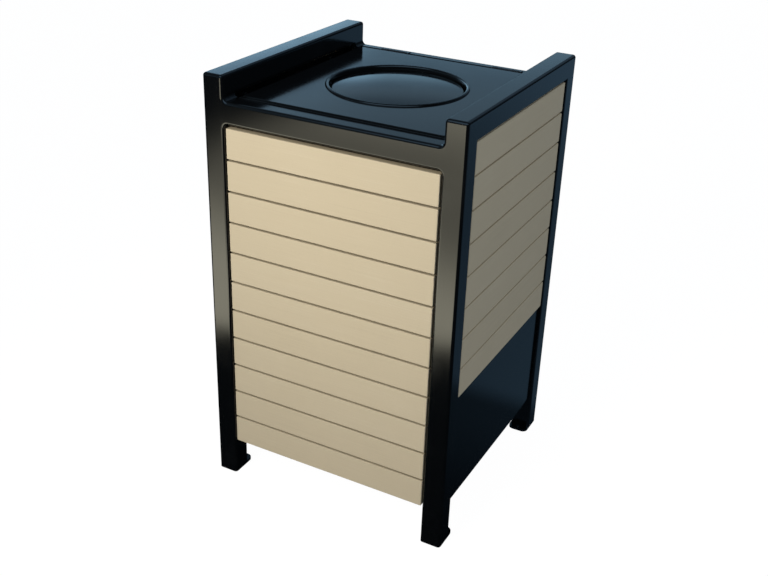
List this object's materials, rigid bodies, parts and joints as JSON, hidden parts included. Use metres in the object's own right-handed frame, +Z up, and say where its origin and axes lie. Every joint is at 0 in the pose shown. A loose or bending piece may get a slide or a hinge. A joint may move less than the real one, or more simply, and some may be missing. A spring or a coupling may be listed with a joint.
{
  "type": "waste bin",
  "caption": "Square outdoor waste bin with a black tube frame, tan plank walls, a rear-hinged flat lid and a swinging round disc in the lid's mouth.",
  "frame": {"origin": "on the floor, under the middle of the bin", "axes": "+Z up, the front wall faces -Y, +X to the right seen from the front"},
  "size_m": [0.616, 0.61, 1.016],
  "materials": {
    "frame_coat": "gloss black powder coat",
    "lid_coat": "high gloss black powder coat",
    "sheet_coat": "gloss black powder coat on flat sheet",
    "inner_coat": "satin black powder coat",
    "plank": "sand-coloured recycled plastic with a fine brushed grain",
    "liner": "matte dark grey",
    "screw_steel": "plain stainless steel",
    "bush": "natural nylon"
  },
  "bodies": {
    "frame": {"post_front_left": "frame_coat", "post_front_right": "frame_coat", "post_rear_left": "frame_coat", "post_rear_right": "frame_coat", "post_caps": "frame_coat", "side_rail_left": "frame_coat", "side_rail_right": "frame_coat", "cross_rail_front": "frame_coat", "cross_rail_rear": "frame_coat", "weld_fillets": "frame_coat", "foot_plates": "frame_coat", "floor_rails": "inner_coat", "floor_pan": "inner_coat", "front_straps": "inner_coat", "rear_straps": "inner_coat", "side_sheet_left": "sheet_coat", "side_sheet_right": "sheet_coat", "front_plank_01": "plank", "front_plank_02": "plank", "front_plank_03": "plank", "front_plank_04": "plank", "front_plank_05": "plank", "front_plank_06": "plank", "front_plank_07": "plank", "front_plank_08": "plank", "front_plank_09": "plank", "front_plank_10": "plank", "front_plank_11": "plank", "left_plank_01": "plank", "left_plank_02": "plank", "left_plank_03": "plank", "left_plank_04": "plank", "left_plank_05": "plank", "left_plank_06": "plank", "left_plank_07": "plank", "left_plank_08": "plank", "right_plank_01": "plank", "right_plank_02": "plank", "right_plank_03": "plank", "right_plank_04": "plank", "right_plank_05": "plank", "right_plank_06": "plank", "right_plank_07": "plank", "right_plank_08": "plank", "rear_planks": "plank", "plank_screws": "screw_steel", "liner": "liner", "hinge_frame_leaves": "inner_coat", "hinge_pins": "screw_steel"},
    "lid": {"lid_panel": "lid_coat", "hinge_lid_leaves": "inner_coat", "axle_brackets": "inner_coat", "axle_bushes": "bush"},
    "disc": {"swing_disc": "lid_coat", "disc_axle": "screw_steel", "axle_clips": "screw_steel", "disc_saddles": "inner_coat", "counterweight": "inner_coat"}
  },
  "joints": [
    {"name": "lid_hinge", "type": "hinge", "parent": "frame", "child": "lid", "pos_m": [0, 0.2673, 0.9633], "axis": [-1, 0, 0], "range_deg": [0, 100]},
    {"name": "disc_swing", "type": "hinge", "parent": "lid", "child": "disc", "pos_m": [0, 0, 0.9427], "axis": [1, 0, 0], "range_deg": [-75, 75]}
  ]
}
